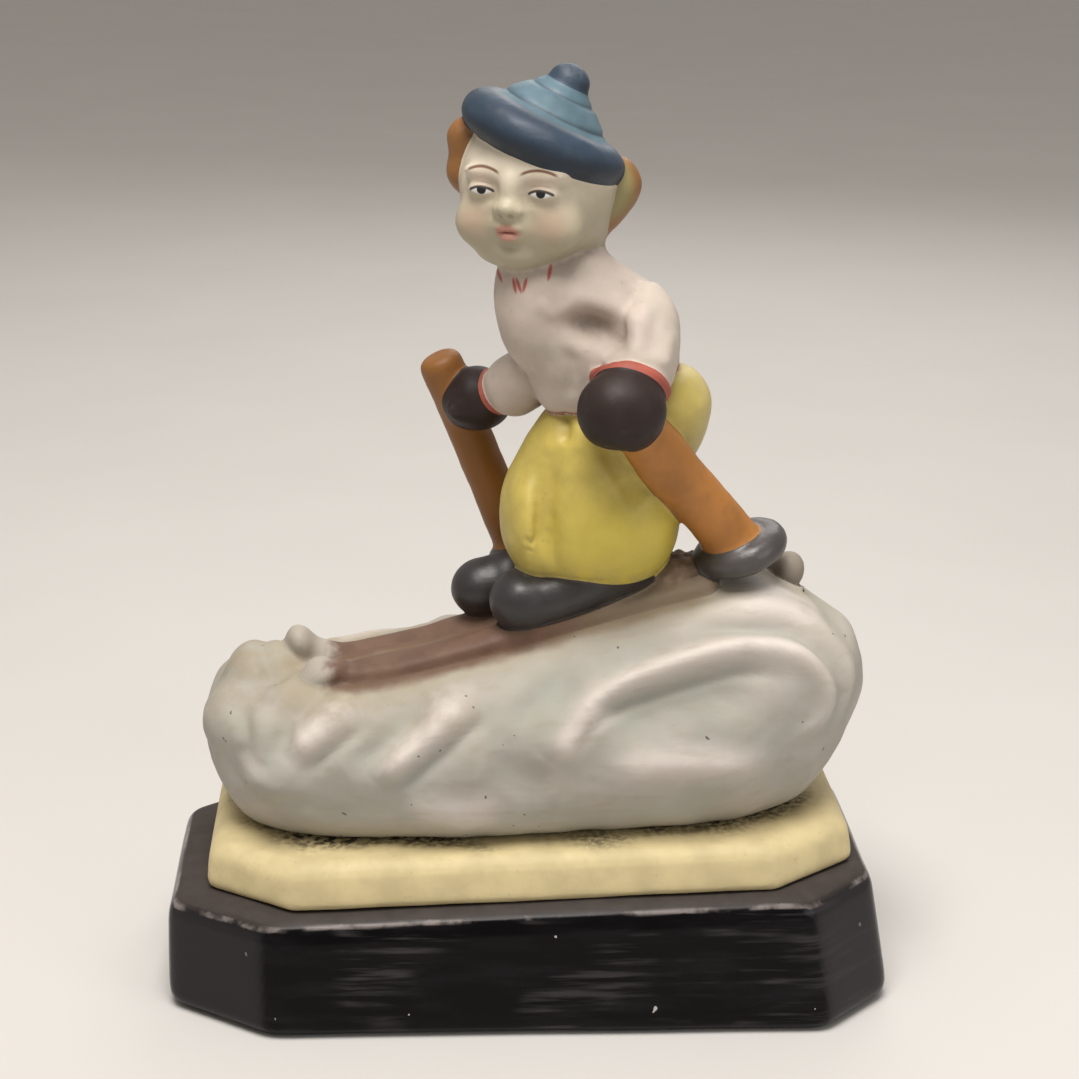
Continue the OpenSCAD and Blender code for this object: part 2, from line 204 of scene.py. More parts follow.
def solid(node, cell, smooth, grow=0.0):
    """A CAD node as a block, its facets smoothed over about the given length."""
    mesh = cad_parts[node].data
    mesh.calc_loop_triangles()
    points = np.empty(len(mesh.vertices) * 3, np.float32)
    mesh.vertices.foreach_get("co", points)
    corners = np.empty(len(mesh.loop_triangles) * 3, np.int32)
    mesh.loop_triangles.foreach_get("vertices", corners)
    grid = vdb.FloatGrid.createLevelSetFromPolygons(
        points.reshape(-1, 3) / MM, triangles=corners.reshape(-1, 3).astype(np.uint32),
        transform=vdb.createLinearTransform(voxelSize=cell), halfWidth=BAND)
    low, high = box_mm(node)
    low = np.floor(low / cell).astype(int) - BAND
    high = np.ceil(high / cell).astype(int) + BAND
    values = np.empty(high - low + 1, np.float32)
    grid.copyToArray(values, ijk=tuple(int(a) for a in low))
    width = 2 * int(round(smooth / cell)) + 1
    return Block(cell, low, blurred(values, width) - grow)


def melted(blocks, soft):
    """All the blocks as one: a union with a fillet of about the given size at every junction."""
    cell = blocks[0].cell
    low = np.min([b.low for b in blocks], axis=0)
    high = np.max([b.low + b.values.shape for b in blocks], axis=0)
    far = BAND * cell
    total = np.full(high - low, len(blocks) * math.exp(-far / soft), np.float32)
    for b in blocks:
        span = tuple(slice(a, a + n) for a, n in zip(b.low - low, b.values.shape))
        total[span] += np.exp(-b.values / soft) - math.exp(-far / soft)
    return Block(cell, low, (-soft * np.log(np.maximum(total, 1e-30))).astype(np.float32))


# ---- a skin, its relief, and its parts

FRONT = (0, 2, (0, -1, 0))  # the two axes a stroke is drawn on, and the way the surface faces
BACK = (0, 2, (0, 1, 0))
TOP = (0, 1, (0, 0, 1))
LEFT = (1, 2, (-1, 0, 0))
RIGHT = (1, 2, (1, 0, 0))
TAPER = 0.35  # share of a stroke over which it fades at each end
CURVE_STEPS = 8


def smooth_path(path):
    """A Catmull-Rom curve through given points."""
    p = np.array(path, float)
    p = np.vstack([2 * p[0] - p[1], p, 2 * p[-1] - p[-2]])
    t = np.arange(CURVE_STEPS)[:, None] / CURVE_STEPS
    runs = []
    for a, b, c, d in zip(p, p[1:], p[2:], p[3:]):
        runs.append(0.5 * (2 * b + (c - a) * t + (2 * a - 5 * b + 4 * c - d) * t ** 2
                           + (3 * b - a - 3 * c + d) * t ** 3))
    return np.vstack(runs + [p[-2:-1]])


class Skin:
    """The surface of a block: points, triangles, and values at each point that the paints read.

    edge and pit are 1 on sharp outer edges and in sharp hollows, crest and dip on strokes.
    """

    def __init__(self, block):
        cell = block.cell
        grid = vdb.FloatGrid(BAND * cell)
        grid.transform = vdb.createLinearTransform(voxelSize=cell)
        grid.copyFromArray(block.values, ijk=tuple(int(a) for a in block.low))
        points, quads = grid.convertToQuads(isovalue=0)
        self.points = np.array(points, float)
        q = np.array(quads, int)
        self.triangles = np.vstack([q[:, [0, 1, 2]], q[:, [0, 2, 3]]])
        a, b, c = (self.points[self.triangles[:, i]] for i in range(3))
        if (a * np.cross(b, c)).sum() < 0:
            self.triangles = self.triangles[:, ::-1]
        bend = blurred(block.values, 2 * int(round(1.0 / cell)) + 1) - block.values
        bend = Block(cell, block.low, bend).at(self.points)
        none = np.zeros(len(self.points))
        self.values = {"edge": np.clip((bend - 0.2) / 0.4, 0, 1), "pit": np.clip(-bend / 0.3, 0, 1),
                       "crest": none.copy(), "dip": none.copy()}
        self.lift = none
        self.face()

    def face(self):
        """Work out the normal at every point."""
        a, b, c = (self.points[self.triangles[:, i]] for i in range(3))
        flat = np.cross(b - a, c - a)
        total = np.zeros_like(self.points)
        for i in range(3):
            for axis in range(3):
                total[:, axis] += np.bincount(self.triangles[:, i], flat[:, axis], len(total))
        self.normals = total / np.maximum(np.linalg.norm(total, axis=1, keepdims=True), 1e-9)

    def stroke(self, view, path, width, height, within=None):
        """Raise the skin, or press it in, along a curve drawn on one elevation."""
        u, v, way = view
        curve = smooth_path(path)
        facing = np.clip(self.normals @ np.array(way) * 4, 0, 1)
        flat = self.points[:, [u, v]]
        low, high = curve.min(0) - 3 * width, curve.max(0) + 3 * width
        near = np.where((facing > 0) & (flat > low).all(1) & (flat < high).all(1))[0]
        if within is not None:
            near = near[within[near]]
        a, b = curve[:-1], curve[1:]
        run = b - a
        offset = flat[near][:, None, :] - a
        t = np.clip((offset * run).sum(2) / np.maximum((run ** 2).sum(1), 1e-9), 0, 1)
        gap = np.linalg.norm(offset - t[:, :, None] * run, axis=2)
        best = gap.argmin(1)
        row = np.arange(len(near))
        along = (best + t[row, best]) / len(run)
        fade = np.clip(np.minimum(along, 1 - along) / TAPER + 0.15, 0, 1)
        fade = fade * fade * (3 - 2 * fade)
        shape = np.exp(-(gap[row, best] / width) ** 2) * fade * facing[near]
        self.lift[near] += height * shape
        name = "crest" if height > 0 else "dip"
        self.values[name][near] = np.maximum(self.values[name][near], shape * min(1, abs(height)))

    def waver(self, size, height, seed):
        """Slow unevenness, as hand-finished clay has."""
        shift = Vector((seed, seed * 2, seed * 3))
        self.lift += height * np.array([noise.noise(Vector(p) / size + shift) for p in self.points])

    def settle(self):
        """Move the points by the relief drawn so far."""
        self.points = self.points + self.normals * self.lift[:, None]
        self.lift[:] = 0
        self.face()

    def divided(self, fields):
        """Cut the skin where one field passes below another.

        The answer holds points, normals, triangles and values for each field's name.
        """
        names = list(fields)
        claim = np.stack([fields[n] for n in names])
        owner = claim.argmin(0)
        keys = list(self.values)
        table = np.hstack([self.points, self.normals, np.stack([self.values[k] for k in keys], 1)])
        count = len(table)
        tri = self.triangles
        sides = np.vstack([tri[:, [0, 1]], tri[:, [1, 2]], tri[:, [2, 0]]])
        edges = np.unique(np.sort(sides, axis=1), axis=0)
        a, b = edges[owner[edges[:, 0]] != owner[edges[:, 1]]].T
        gap_a = claim[owner[b], a] - claim[owner[a], a]
        gap_b = claim[owner[a], b] - claim[owner[b], b]
        t = np.clip(gap_a / np.maximum(gap_a + gap_b, 1e-9), 0.08, 0.92)[:, None]  # no slivers
        table = np.vstack([table, table[a] * (1 - t) + table[b] * t])
        code = a * count + b
        order = np.argsort(code)

        def cut(p, q):
            """The new point on the edge from p to q."""
            key = np.minimum(p, q) * count + np.maximum(p, q)
            return count + order[np.searchsorted(code, key, sorter=order)]

        own = owner[tri]
        same = (own[:, 0] == own[:, 1]) & (own[:, 1] == own[:, 2])
        shares = {i: [tri[same & (own[:, 0] == i)]] for i in range(len(names))}
        for turn in range(3):  # triangles with one corner that belongs to another part
            o, p, q = (tri[:, (turn + i) % 3] for i in range(3))
            odd = (owner[p] == owner[q]) & (owner[o] != owner[p])
            o, p, q = o[odd], p[odd], q[odd]
            m, n = cut(o, p), cut(o, q)
            for i in range(len(names)):
                tip, rest = owner[o] == i, owner[p] == i
                shares[i] += [np.stack([o, m, n], 1)[tip], np.stack([m, p, q], 1)[rest],
                              np.stack([m, q, n], 1)[rest]]
        # Triangles between three parts are cut from their middle.
        mixed = (own[:, 0] != own[:, 1]) & (own[:, 1] != own[:, 2]) & (own[:, 0] != own[:, 2])
        centre = len(table) + np.arange(mixed.sum())
        table = np.vstack([table, table[tri[mixed]].mean(1)])
        for turn in range(3):
            o, p, q = (tri[mixed][:, (turn + i) % 3] for i in range(3))
            for i in range(len(names)):
                mine = owner[o] == i
                if mine.any():
                    shares[i] += [np.stack([o, cut(o, p), centre], 1)[mine],
                                  np.stack([o, centre, cut(o, q)], 1)[mine]]
        parts = {}
        for i, name in enumerate(names):
            triangles = np.vstack(shares[i])
            used, triangles = np.unique(triangles, return_inverse=True)
            rows = table[used]
            values = {k: rows[:, 6 + n] for n, k in enumerate(keys)}
            parts[name] = (rows[:, :3], rows[:, 3:6], triangles.reshape(-1, 3), values)
        return parts


WALL = 0.8  # how far a part's cut edge is turned in before it is closed


def make_piece(name, part, material, nodes):
    """A closed mesh from one part of a skin, standing for its CAD nodes."""
    points, normals, triangles, values = part
    mesh = bpy.data.meshes.new(name)
    mesh.from_pydata((points * MM).tolist(), [], triangles.tolist())
    bm = bmesh.new()
    bm.from_mesh(mesh)
    index = bm.verts.layers.int.new("row")
    for v in bm.verts:
        v[index] = v.index
    rim = [e for e in bm.edges if e.is_boundary]
    if rim:
        turned = bmesh.ops.extrude_edge_only(bm, edges=rim)["geom"]
        for v in (g for g in turned if isinstance(g, bmesh.types.BMVert)):
            v.co -= Vector(normals[v[index]]) * WALL * MM
        open_edges = [g for g in turned if isinstance(g, bmesh.types.BMEdge) and g.is_boundary]
        caps = bmesh.ops.holes_fill(bm, edges=open_edges, sides=0)["faces"]
        bmesh.ops.triangulate(bm, faces=caps, ngon_method="BEAUTY")
    rows = [v[index] for v in bm.verts]
    bm.verts.layers.int.remove(index)
    left = sum(e.is_boundary for e in bm.edges)
    print(f"{name}: {len(bm.faces)} faces, {left} open edges")
    bm.to_mesh(mesh)
    bm.free()
    mesh.polygons.foreach_set("use_smooth", [True] * len(mesh.polygons))
    for key, column in values.items():
        layer = mesh.attributes.new(key, "FLOAT", "POINT")
        layer.data.foreach_set("value", column[rows].astype(np.float32))
    mesh.normals_split_custom_set_from_vertices(normals[rows].tolist())
    mesh.materials.append(material)
    piece = bpy.data.objects.new(name, mesh)
    scene.collection.objects.link(piece)
    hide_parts(*nodes)
    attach(piece, "root")


# ---- paints

class Paint:
    """A material's nodes. Its methods take numbers or sockets, and places are in millimetres."""

    def __init__(self, name, specular):
        self.material = bpy.data.materials.new(name)
        self.material.use_nodes = True
        self.tree = self.material.node_tree
        self.shader = self.tree.nodes["Principled BSDF"]
        self.put(specular, self.shader.inputs["Specular IOR Level"])
        local = self.node("TexCoord").outputs["Object"]
        self.place = self.node("VectorMath", "SCALE", Scale=1 / MM, Vector=local).outputs[0]

    def node(self, kind, operation=None, **inputs):
        """A new node, with inputs that are linked or set."""
        node = self.tree.nodes.new("ShaderNode" + kind)
        if operation:
            node.operation = operation
        for name, value in inputs.items():
            self.put(value, node.inputs[name])
        return node

    def put(self, value, socket):
        """Link a socket to another, or set it to a number or a colour."""
        if isinstance(value, bpy.types.NodeSocket):
            self.tree.links.new(value, socket)
        elif isinstance(value, tuple):
            socket.default_value = value + (1,) if socket.type == "RGBA" else value
        else:
            socket.default_value = value

    def math(self, operation, *values):
        node = self.node("Math", operation)
        for value, socket in zip(values, node.inputs):
            self.put(value, socket)
        return node.outputs[0]

    def times(self, first, *others):
        """The product of the values."""
        for other in others:
            first = self.math("MULTIPLY", first, other)
        return first

    def linear(self, value, by, plus):
        """The value times one number, plus another."""
        return self.math("MULTIPLY_ADD", value, by, plus)

    def gap(self, a, b):
        """How far apart two values are."""
        return self.math("ABSOLUTE", self.math("SUBTRACT", a, b))

    def length(self, a, b):
        """The long side of a right triangle with sides a and b."""
        return self.math("SQRT", self.math("ADD", self.times(a, a), self.times(b, b)))

    def attribute(self, name):
        """One of the values that the skin holds at its points."""
        node = self.node("Attribute")
        node.attribute_name = name
        return node.outputs["Fac"]

    def noise(self, size, detail=3.0, stretch=None):
        """Noise between 0 and 1 with features of about the given size."""
        place = self.node("Mapping", Scale=stretch, Vector=self.place).outputs[0] if stretch else self.place
        node = self.node("TexNoise", Scale=1 / size, Detail=detail, Roughness=0.55, Vector=place)
        return node.outputs["Fac"]

    def step(self, value, low, high):
        """0 below low, 1 above high and a smooth rise between. low may be above high."""
        limits = {"From Min": min(low, high), "From Max": max(low, high),
                  "To Min": float(low > high), "To Max": float(low <= high)}
        node = self.node("MapRange", Value=value, **limits)
        node.interpolation_type = "SMOOTHSTEP"
        return node.outputs[0]

    def mix(self, share, a, b):
        """Colour a where share is 0, colour b where it is 1."""
        node = self.node("Mix", Factor=share)
        node.data_type = "RGBA"
        self.put(a, node.inputs[6])  # the two colour sockets, whose names others have too
        self.put(b, node.inputs[7])
        return node.outputs[2]

    def over(self, base, colour, *shares):
        """Lay a colour over the base, as thickly as the product of the shares."""
        return self.mix(self.times(*shares), base, colour)

    def axes(self, centre=(0, 0, 0), turn=(0, 0, 0)):
        """The place as three numbers, measured from a centre and along turned axes."""
        return self.node("SeparateXYZ", Vector=self.local(centre, turn)).outputs

    def local(self, centre, turn, scale=(1, 1, 1)):
        """The place as something sees it that is moved, turned in degrees and scaled."""
        radians = tuple(math.radians(a) for a in turn)
        node = self.node("Mapping", Location=tuple(centre), Rotation=radians, Scale=scale, Vector=self.place)
        node.vector_type = "TEXTURE"
        return node.outputs[0]

    def spot(self, centre, radii, soft, turn=(0, 0, 0)):
        """1 inside an ellipsoid and 0 outside, with an edge soft times its size."""
        node = self.node("VectorMath", "LENGTH", Vector=self.local(centre, turn, radii))
        return self.step(node.outputs["Value"], 1 + soft, 1 - soft)

    def facing(self):
        """The surface's normal, as three numbers."""
        return self.node("SeparateXYZ", Vector=self.node("NewGeometry").outputs["Normal"]).outputs

    def bump(self, height, distance, strength):
        """Roughen the surface, on top of what roughens it already."""
        node = self.node("Bump", Strength=strength, Distance=distance * MM, Height=height)
        normal = self.shader.inputs["Normal"]
        if normal.is_linked:
            self.put(normal.links[0].from_socket, node.inputs["Normal"])
        self.put(node.outputs[0], normal)

    def grain(self, size=0.35, strength=0.5):
        """The fine tooth of unglazed bisque."""
        self.bump(self.noise(size, 2), 0.03, strength)

    def finish(self, colour, roughness):
        self.put(colour, self.shader.inputs["Base Color"])
        self.put(roughness, self.shader.inputs["Roughness"])
        return self.material


# Dirt tone, also laid in the hollows as painted shade.
GRIME_AND_SHADE = (0.10, 0.075, 0.05)
RED = (0.33, 0.080, 0.055)
MITTEN, MITTEN_WORN = (0.025, 0.015, 0.013), (0.10, 0.08, 0.07)
BOOT, BOOT_WORN = (0.030, 0.026, 0.026), (0.11, 0.10, 0.095)
PEWTER = (0.062, 0.054, 0.052)
GRIT = (0.18, 0.125, 0.085)

SNOW_DULL, SNOW_PALE = (0.36, 0.365, 0.345), (0.45, 0.425, 0.41)
SNOW_COOL = (0.34, 0.385, 0.365)
# Painted shade for the hollows, and painted highlight for the ridges.
SNOW_HOLLOW_SHADE, SNOW_CREST_HIGHLIGHT = (0.29, 0.335, 0.315), (0.88, 0.80, 0.77)
SNOW_STREAK, SNOW_DUST = (0.28, 0.24, 0.19), (0.30, 0.25, 0.19)
SNOW_END = (0.36, 0.35, 0.31)
SNOW_BY_SKI = (0.36, 0.305, 0.21)
CLAY_DARK, CLAY_PALE = (0.145, 0.087, 0.055), (0.26, 0.205, 0.135)
SPECK = (0.06, 0.05, 0.045)

SKI = (0.138, 0.077, 0.050)
SKI_FADED, SKI_TIP, SKI_TAIL = (0.235, 0.185, 0.12), (0.37, 0.33, 0.275), (0.245, 0.21, 0.165)

SKIN = (0.47, 0.40, 0.295)
# Olive mottling, then painted light for the forehead and painted shade for the jaw.
OLIVE, FOREHEAD_PAINTED_LIGHT, JAW_PAINTED_SHADE = (0.40, 0.38, 0.26), (0.66, 0.59, 0.47), (0.33, 0.30, 0.20)
ROUGE, EYELID = (0.52, 0.30, 0.22), (0.47, 0.33, 0.27)
EYE_WHITE, PUPIL = (0.62, 0.61, 0.58), (0.006, 0.006, 0.007)
LASH, CREASE, BROW = (0.02, 0.013, 0.01), (0.20, 0.12, 0.08), (0.13, 0.045, 0.017)
# Painted shade for the nostrils, then the lips' paint.
NOSTRIL_SHADE, LIPS, LIP_LINE = (0.20, 0.14, 0.09), (0.46, 0.20, 0.155), (0.22, 0.05, 0.04)
HAIR, NAPE = (0.26, 0.115, 0.035), (0.27, 0.25, 0.11)

BLUE_DARK, BLUE_LIGHT = (0.027, 0.046, 0.073), (0.087, 0.145, 0.178)
BLUE_WORN = (0.17, 0.18, 0.19)
BRIM_RING, CROWN_RING = (0.15, 0.17, 0.19), (0.05, 0.07, 0.085)

SWEATER, SWEATER_DULL = (0.51, 0.43, 0.37), (0.50, 0.45, 0.36)
HEM, CHEST_SHADE, STITCH = (0.33, 0.10, 0.06), (0.24, 0.18, 0.14), (0.38, 0.06, 0.045)
ORANGE = (0.38, 0.155, 0.033)
YELLOW, YELLOW_FULL_AND_HIGHLIGHT = (0.51, 0.40, 0.092), (0.58, 0.47, 0.055)
YELLOW_SEAT, YELLOW_FOOT = (0.47, 0.40, 0.20), (0.33, 0.27, 0.13)

GLAZE_DEEP, GLAZE_THIN = (0.0015, 0.0012, 0.0015), (0.007, 0.006, 0.007)
# The streaks are partly a painted reflection, the side tone is a painted reflection, and the worn tone is
# partly a painted highlight.
GLAZE_STREAK_AND_REFLECTION, GLAZE_CHIP = (0.054, 0.050, 0.051), (0.45, 0.42, 0.40)
GLAZE_SIDE_REFLECTION, GLAZE_WEAR_AND_HIGHLIGHT = (0.030, 0.027, 0.029), (0.24, 0.205, 0.19)
GLAZE_TOP, GLAZE_DUST = (0.035, 0.029, 0.026), (0.070, 0.058, 0.052)
# Cream, and a dark tone for stain and painted shadow under the snow.
CREAM, SOOT_AND_SHADOW = (0.58, 0.48, 0.26), (0.045, 0.038, 0.022)
FLOOR_DULL, FLOOR_PALE = (0.58, 0.56, 0.53), (0.62, 0.60, 0.57)

# Places on the face, from the middle of the head: across to the viewer's right, and up.
HEAD = tuple(middle_mm("head"))
FACE_TURN = -24  # the face looks this far round to the viewer's left
EYE_APART, EYE_LEVEL = 8.8, 1.3
UPPER_LID, LOWER_LID = 3.2, 3.0  # radii of the arcs that bound an open eye
BROW_ACROSS, BROW_LEVEL, BROW_ARCH = 4.2, 4.6, 5.2
CHEEK = (5.6, -3.2)
NOSTRIL_PLACE = (0.75, -1.75)
MOUTH_LEVEL = -4.2

CAP = tuple(middle_mm("cap_brim"))
CAP_TILT = 25
BRIM_RING_LEVEL = 3.4
CROWN_RING_LEVELS = (3.9, 6.6)
CHEST_LEAN = 14
CHEST_SHADES = [  # place from the middle of the torso, and radii
    ((-1.2, -10, 2.2), (6.0, 7, 3.4)), ((0.8, -10, 1.2), (2.8, 7, 1.9))]
STITCHES = [  # place and lean of each short red stroke
    ((-3.6, -9.0, 109.2), -10), ((-2.2, -9.6, 109.5), 15), ((-3.0, -9.4, 109.3), -20),
    ((1.3, -11.0, 111.4), 12), ((-5.8, -7.0, 110.3), -25)]


def tinted(colour, by):
    return tuple(min(1, c * by) for c in colour)


def weathered(paint, base, light=1.12, dark=0.82, grime_and_shade=0.5, worn=None):
    """Mottle a base if it is one plain colour, put dirt and painted shade in its sharp hollows and wear its
    edges.
    """
    if isinstance(base, tuple):
        cloud = paint.step(paint.noise(6), 0.3, 0.7)
        base = paint.mix(cloud, tinted(base, dark), tinted(base, light))
    base = paint.over(base, GRIME_AND_SHADE, paint.step(paint.noise(1.1, 4), 0.62, 0.75), 0.16)
    # Dirt and painted shade in the sharp hollows, laid in patches.
    base = paint.over(base, GRIME_AND_SHADE, paint.attribute("pit"), grime_and_shade,
                      paint.step(paint.noise(2.2, 4), 0.25, 0.7))
    if worn:
        base = paint.over(base, worn, paint.step(paint.attribute("edge"), 0.45, 1.0), 0.5,
                          paint.step(paint.noise(1.6, 4), 0.4, 0.65))
    return base


def matte(name, colour, roughness=0.6, specular=0.35, **ageing):
    """Plain fired-on paint over bisque."""
    paint = Paint(name, specular)
    base = weathered(paint, colour, **ageing)
    paint.grain()
    paint.bump(paint.noise(5, 2), 0.12, 0.2)
    return paint.finish(base, paint.linear(paint.noise(2.5), 0.24, roughness - 0.12))


def snow_paint():
    """Grey-white snow with a painted highlight on its ridges and painted shade in its hollows, stained at
    its ends, and bare brown clay round the skis.
    """
    paint = Paint("snow", 0.25)
    x, y, z = paint.axes()
    base = paint.mix(paint.step(paint.noise(9), 0.35, 0.68), SNOW_DULL, SNOW_PALE)
    base = paint.over(base, SNOW_COOL, paint.step(paint.noise(14, 2), 0.42, 0.62), 0.4)
    # Greenish painted shade in the dips and sharp hollows.
    hollow = paint.math("MAXIMUM", paint.attribute("dip"), paint.attribute("pit"))
    base = paint.over(base, SNOW_HOLLOW_SHADE, hollow, 0.5)
    # Painted highlight on the raised ridges.
    base = paint.over(base, SNOW_CREST_HIGHLIGHT, paint.attribute("crest"), 0.85)
    streak = paint.step(paint.noise(2.0, 4, (0.25, 1, 1)), 0.5, 0.72)
    base = paint.over(base, SNOW_STREAK, streak, 0.26)
    base = paint.over(base, SNOW_DUST, paint.step(x, 12, -36), paint.step(z, 40, 50),
                      paint.step(paint.noise(3.5, 5), 0.2, 0.75))
    base = paint.over(base, SNOW_END, paint.step(x, 36, 46), paint.step(z, 44, 56), 0.6)
    from_ski = paint.math("ADD", paint.attribute("ski"), paint.linear(paint.noise(5), 1.6, -0.6))
    base = paint.over(base, SNOW_BY_SKI, paint.step(from_ski, 8.5, 2.2), 0.65)
    ragged = paint.math("ADD", x, paint.times(paint.noise(2, 4), 4))
    along = paint.times(paint.step(ragged, -30, -27), paint.step(x, 31, 22))
    bare = paint.mix(paint.step(x, -2, 12), CLAY_DARK, CLAY_PALE)
    base = paint.over(base, bare, paint.step(from_ski, 2.8, 0.9), along, paint.step(y, 5.4, 3.6))
    base = paint.over(base, SPECK, paint.step(paint.noise(1.3, 1), 0.77, 0.79), 0.8)
    paint.grain(0.4)
    paint.bump(paint.noise(4, 4), 0.2, 0.5)
    return paint.finish(base, paint.linear(paint.noise(3), 0.2, 0.58))


def ski_paint():
    """Brown, faded behind the boots and paler where the tips and the tails run into the snow."""
    paint = Paint("ski", 0.35)
    base = weathered(paint, SKI, grime_and_shade=0.7)
    x = paint.axes()[0]
    base = paint.over(base, SKI_FADED, paint.step(x, 0, 14), 0.75)
    ragged = paint.math("ADD", x, paint.times(paint.noise(2, 4), 4))
    base = paint.over(base, SKI_TIP, paint.step(ragged, -27.2, -29.8))
    base = paint.over(base, SKI_TAIL, paint.step(x, 30, 36))
    paint.grain(0.4)
    return paint.finish(base, 0.6)


def face_paint():
    """Bisque flesh with a painted doll's face on its front, and hair painted round the back."""
    paint = Paint("flesh", 0.4)
    base = weathered(paint, SKIN, light=1.06, dark=0.92, grime_and_shade=0.4)
    across, back, up = paint.axes(HEAD, (0, 0, FACE_TURN))
    base = paint.over(base, OLIVE, paint.step(paint.noise(5), 0.42, 0.66), 0.35)
    # Painted light on the forehead and painted shade on the jaw.
    base = paint.over(base, FOREHEAD_PAINTED_LIGHT, paint.step(up, -1, 4.5), 0.75)
    base = paint.over(base, JAW_PAINTED_SHADE, paint.step(up, 1.5, -4), 0.55)
    ragged = paint.math("ADD", back, paint.times(paint.noise(4, 2), 3))
    base = paint.over(base, HAIR, paint.step(ragged, 5.6, 9), 0.9)
    front = paint.step(back, -4.5, -6)

    def radius(u, w):
        """Distance from a point of the face, seen from the front."""
        return paint.length(paint.math("SUBTRACT", across, u), paint.math("SUBTRACT", up, w))

    def band(value, centre, half, soft=0.09):
        """1 where value lies within half of centre."""
        return paint.step(paint.gap(value, centre), half + soft, half - soft)

    for side in (-1, 1):
        eye_u, eye_w = side * EYE_APART / 2, EYE_LEVEL
        lid = radius(eye_u, eye_w + 0.5 - UPPER_LID)
        floor_of_eye = radius(eye_u, eye_w - 0.55 + LOWER_LID)
        open_eye = paint.times(paint.step(lid, UPPER_LID + 0.05, UPPER_LID - 0.08),
                               paint.step(floor_of_eye, LOWER_LID + 0.05, LOWER_LID - 0.08))
        cheek = paint.step(radius(side * CHEEK[0], CHEEK[1]), 3.6, 0.6)
        base = paint.over(base, ROUGE, cheek, front, 0.35)
        eyelid = paint.step(radius(eye_u, eye_w + 1.3), 2.6, 0.8)
        base = paint.over(base, EYELID, eyelid, front, 0.35)
        base = paint.over(base, EYE_WHITE, open_eye, front)
        pupil = paint.step(radius(eye_u + 0.1, eye_w + 0.15), 0.74, 0.62)
        base = paint.over(base, PUPIL, pupil, open_eye, front)
        lash = paint.times(band(lid, UPPER_LID, 0.19), band(across, eye_u, 1.9, 0.15),
                           paint.step(up, eye_w - 0.3, eye_w - 0.1))
        base = paint.over(base, LASH, lash, front, 0.95)
        crease = paint.times(band(lid, UPPER_LID + 0.7, 0.08, 0.12), band(across, eye_u, 1.4, 0.5),
                             paint.step(up, eye_w, eye_w + 0.3))
        base = paint.over(base, CREASE, crease, front, 0.4)
        arch = radius(side * BROW_ACROSS, BROW_LEVEL - BROW_ARCH)
        brow = paint.times(band(arch, BROW_ARCH, 0.2, 0.12), band(across, side * BROW_ACROSS, 2.5, 0.45),
                           paint.step(up, BROW_LEVEL - 1.8, BROW_LEVEL - 1.4))
        base = paint.over(base, BROW, brow, front, 0.9)
        # Painted shade at the nostrils.
        nostril_shade = paint.step(radius(side * NOSTRIL_PLACE[0], NOSTRIL_PLACE[1]), 0.55, 0.2)
        base = paint.over(base, NOSTRIL_SHADE, nostril_shade, front, 0.5)
    flattened = paint.times(paint.math("SUBTRACT", up, MOUTH_LEVEL), 1.5)
    lips = paint.step(paint.length(across, flattened), 2.25, 1.3)
    base = paint.over(base, LIPS, lips, front, 0.8)
    line = paint.times(band(up, MOUTH_LEVEL, 0.07, 0.1), band(across, 0, 1.35, 0.3))
    base = paint.over(base, LIP_LINE, line, front, 0.75)
    paint.grain(strength=0.4)
    return paint.finish(base, paint.linear(paint.noise(3), 0.2, 0.4))


def hair_paint():
    """Orange-brown on the outer rim of the hair, running into the olive of the neck."""
    paint = Paint("hair", 0.4)
    base = paint.mix(paint.noise(4), tinted(HAIR, 0.7), tinted(HAIR, 1.15))
    nape = paint.spot(middle_mm("near_hair") + (-1.4, -3.5, 1.6), (3.8, 5, 4.4), 0.35)
    base = weathered(paint, paint.over(base, NAPE, nape, 0.85))
    paint.grain(0.4)
    return paint.finish(base, 0.5)


def cap_paint(name, colour, rings):
    """Matte blue, with painted shade underneath. rings: height above the brim's middle, half width, tone,
    strength.
    """
    paint = Paint(name, 0.4)
    base = weathered(paint, colour, light=1.15, dark=0.85, worn=BLUE_WORN)
    # Painted shade on the faces that look down.
    under = paint.step(paint.facing()[2], 0.45, -0.35)
    base = paint.over(base, tinted(colour, 0.3), under, 0.75)
    up = paint.axes(CAP, (0, CAP_TILT, 0))[2]
    for level, half, tone, strength in rings:
        ring = paint.step(paint.gap(up, level), half * 1.4, half * 0.5)
        base = paint.over(base, tone, ring, strength)
    paint.grain()
    return paint.finish(base, paint.linear(paint.noise(2.5), 0.25, 0.38))


def sweater_paint():
    """Pinkish white, with a red hem line and short red stitches below the collar."""
    paint = Paint("sweater", 0.35)
    base = weathered(paint, SWEATER, light=1.06, dark=0.9, grime_and_shade=0.45)
    base = paint.over(base, SWEATER_DULL, paint.step(paint.noise(7), 0.45, 0.7), 0.4)
    base = paint.over(base, HEM, paint.step(paint.attribute("hem"), 0.95, 0.65), 0.8)
    for place, radii in CHEST_SHADES:
        shade = paint.spot(middle_mm("torso") + place, radii, 0.8, (0, CHEST_LEAN, 0))
        base = paint.over(base, CHEST_SHADE, shade, 0.35)
    for place, lean in STITCHES:
        stitch = paint.spot(place, (0.28, 3.0, 1.2), 0.25, (0, lean, 0))
        base = paint.over(base, STITCH, stitch, 0.85)
    paint.grain()
    paint.bump(paint.noise(3.5), 0.12, 0.4)
    return paint.finish(base, 0.6)


